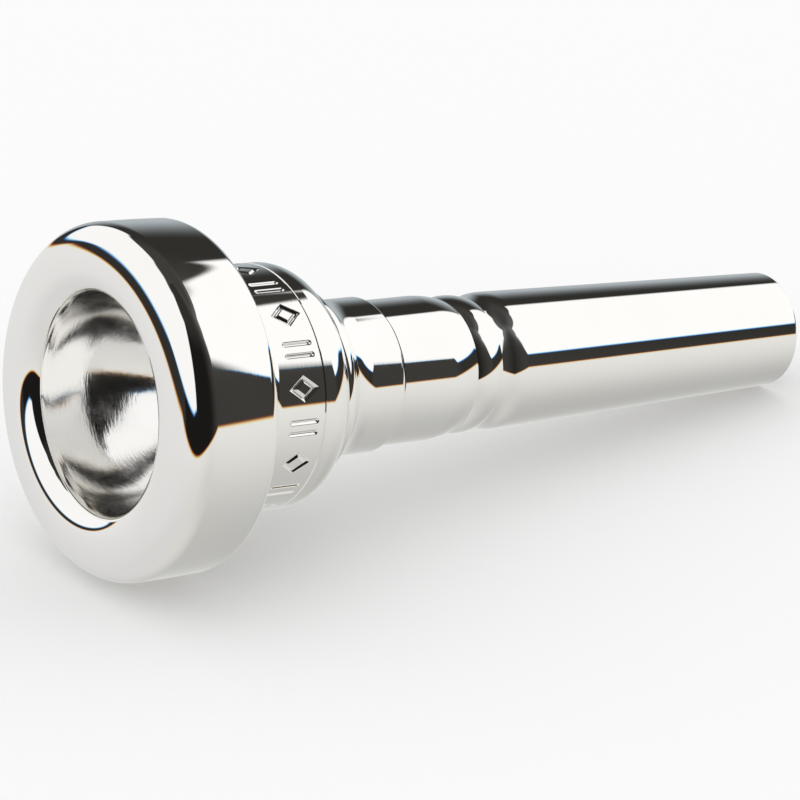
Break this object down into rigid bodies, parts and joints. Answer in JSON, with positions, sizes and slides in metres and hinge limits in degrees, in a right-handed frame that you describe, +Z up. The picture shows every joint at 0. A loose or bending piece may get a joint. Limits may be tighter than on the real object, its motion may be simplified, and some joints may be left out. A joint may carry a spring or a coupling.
{
  "type": "brasswind mouthpiece",
  "caption": "Two-piece cup mouthpiece for a cornet-size receiver: a wide rim and cup that unscrews at the neck from a barrel with a bead ring and a tapered shank.",
  "frame": {"origin": "centre of the shank's small end, the end that goes into the instrument", "axes": "+Y along the common axis from the rim to the shank's small end, +Z up, +X to the right when the rim is seen from the front"},
  "size_m": [0.027, 0.0667, 0.027],
  "materials": {
    "plate_top": "silver plate, polished outside, satin inside the cup",
    "plate_shank": "silver plate, mirror polished"
  },
  "bodies": {
    "backbore": {"backbore": "plate_shank"},
    "cup_top": {"cup_top": "plate_top"}
  },
  "joints": [
    {"name": "top_unscrew", "type": "slide", "parent": "backbore", "child": "cup_top", "axis": [0, -1, 0], "range_m": [0, 0.012]}
  ]
}
